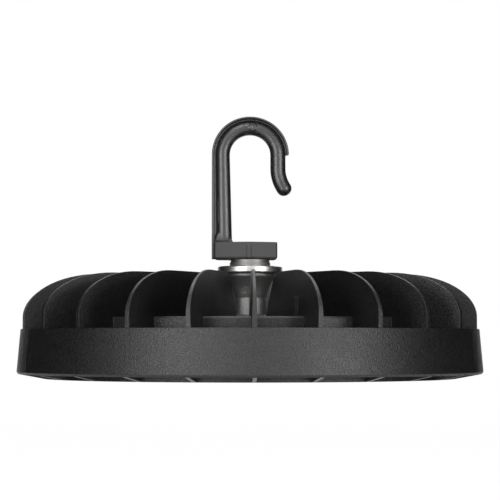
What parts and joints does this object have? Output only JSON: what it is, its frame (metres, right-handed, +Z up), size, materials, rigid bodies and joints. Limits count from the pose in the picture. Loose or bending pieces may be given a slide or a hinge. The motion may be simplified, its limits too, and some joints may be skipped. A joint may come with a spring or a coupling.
{
  "type": "high bay light",
  "caption": "Round finned high bay light with a cast aluminium heat sink, a hanging hook, a cable gland and a flush lens.",
  "frame": {"origin": "centre of the lower rim, on the plane that the light rests on", "axes": "+Z up along the light's axis, towards the hook; the hook lies in the XZ plane"},
  "size_m": [0.28, 0.28, 0.1584],
  "materials": {
    "casting": "fine black textured powder coat on die-cast aluminium",
    "hook": "dark grey satin coat, slightly grainy",
    "bright_steel": "turned bright steel, faint turning lines",
    "zinc": "satin zinc plate",
    "bolt": "zinc plated steel",
    "gland": "black nylon",
    "seal": "black neoprene",
    "vent": "black nylon",
    "lens": "clear polycarbonate",
    "gasket": "pale silicone",
    "board": "white solder mask on aluminium",
    "led": "yellow phosphor over a white package",
    "connector": "cream nylon",
    "lead": "flat insulated lead",
    "driver_metal": "plain aluminium",
    "circuit": "green circuit laminate",
    "winding": "yellow tape over copper",
    "component": "moulded black component",
    "terminal": "grey polyamide"
  },
  "bodies": {
    "root": {"heatsink": "casting", "hook": "hook", "flange_washer": "bright_steel", "hook_collar": "zinc", "spring_washer": "zinc", "hook_bolt": "bolt", "gland_body": "gland", "gland_seal": "seal", "gland_cap": "gland", "vent_plug": "vent", "lens": "lens", "lens_gasket": "gasket", "led_board": "board", "leds": "led", "led_connector": "connector", "led_lead": "lead", "driver_case": "driver_metal", "driver_lid": "driver_metal", "driver_circuit": "circuit", "transformer": "winding", "choke": "component", "film_capacitor": "component", "terminal_block": "terminal", "mains_lead": "lead"}
  },
  "joints": []
}
